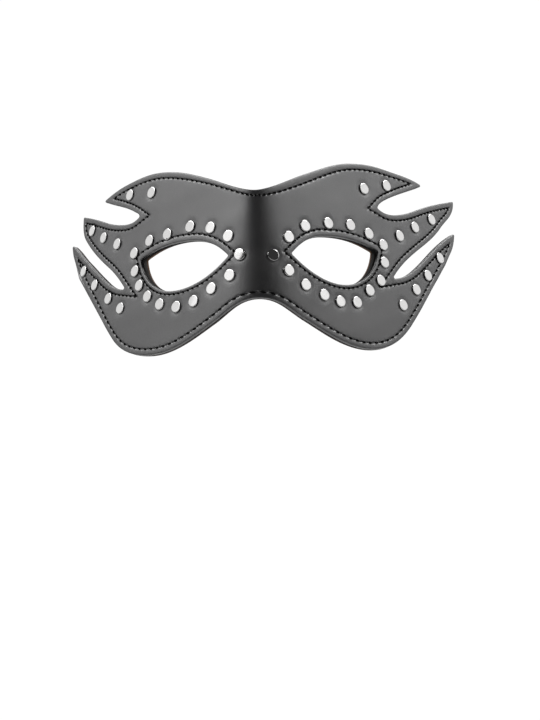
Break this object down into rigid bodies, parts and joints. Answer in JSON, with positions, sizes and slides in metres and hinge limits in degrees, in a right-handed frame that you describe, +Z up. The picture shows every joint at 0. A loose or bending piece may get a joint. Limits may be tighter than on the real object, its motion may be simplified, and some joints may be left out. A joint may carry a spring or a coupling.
{
  "type": "studded faux leather eye mask",
  "caption": "Eye mask of two stitched layers of black faux leather with flame-shaped sides, flat metal studs round the eyes and an elastic strap, bent as it is worn.",
  "frame": {"origin": "on the rear face of the nose bridge, on the nose line at the height of the eyes, where the mask sits on the nose", "axes": "+X to the right seen from the front, -Y out of the front face, +Z up"},
  "size_m": [0.2252, 0.2005, 0.1056],
  "materials": {
    "leather": "black faux leather, fine grain, semi-matt",
    "lining": "dark smooth lining with a brown cut edge",
    "nickel": "polished nickel, flat caps with a bevelled rim",
    "elastic": "black woven elastic"
  },
  "bodies": {
    "root": {"back_panel": "lining", "front_panel": "leather", "strap": "elastic", "stud_left_eye_high_1": "nickel", "stud_left_eye_high_2": "nickel", "stud_left_eye_high_3": "nickel", "stud_left_eye_high_4": "nickel", "stud_left_eye_high_5": "nickel", "stud_left_eye_low_1": "nickel", "stud_left_eye_low_2": "nickel", "stud_left_eye_low_3": "nickel", "stud_left_eye_low_4": "nickel", "stud_left_eye_low_5": "nickel", "stud_left_eye_low_6": "nickel", "stud_left_eye_outer_1": "nickel", "stud_left_eye_outer_2": "nickel", "stud_left_eye_outer_3": "nickel", "stud_left_lower_flame_1": "nickel", "stud_left_lower_flame_2": "nickel", "stud_left_lower_flame_3": "nickel", "stud_left_lower_flame_4": "nickel", "stud_left_middle_flame_1": "nickel", "stud_left_middle_flame_2": "nickel", "stud_left_middle_flame_3": "nickel", "stud_left_nose": "nickel", "stud_left_upper_flame_1": "nickel", "stud_left_upper_flame_2": "nickel", "stud_right_eye_high_1": "nickel", "stud_right_eye_high_2": "nickel", "stud_right_eye_high_3": "nickel", "stud_right_eye_high_4": "nickel", "stud_right_eye_high_5": "nickel", "stud_right_eye_low_1": "nickel", "stud_right_eye_low_2": "nickel", "stud_right_eye_low_3": "nickel", "stud_right_eye_low_4": "nickel", "stud_right_eye_low_5": "nickel", "stud_right_eye_low_6": "nickel", "stud_right_eye_outer_1": "nickel", "stud_right_eye_outer_2": "nickel", "stud_right_eye_outer_3": "nickel", "stud_right_lower_flame_1": "nickel", "stud_right_lower_flame_2": "nickel", "stud_right_lower_flame_3": "nickel", "stud_right_lower_flame_4": "nickel", "stud_right_middle_flame_1": "nickel", "stud_right_middle_flame_2": "nickel", "stud_right_middle_flame_3": "nickel", "stud_right_nose": "nickel", "stud_right_upper_flame_1": "nickel", "stud_right_upper_flame_2": "nickel"}
  },
  "joints": []
}
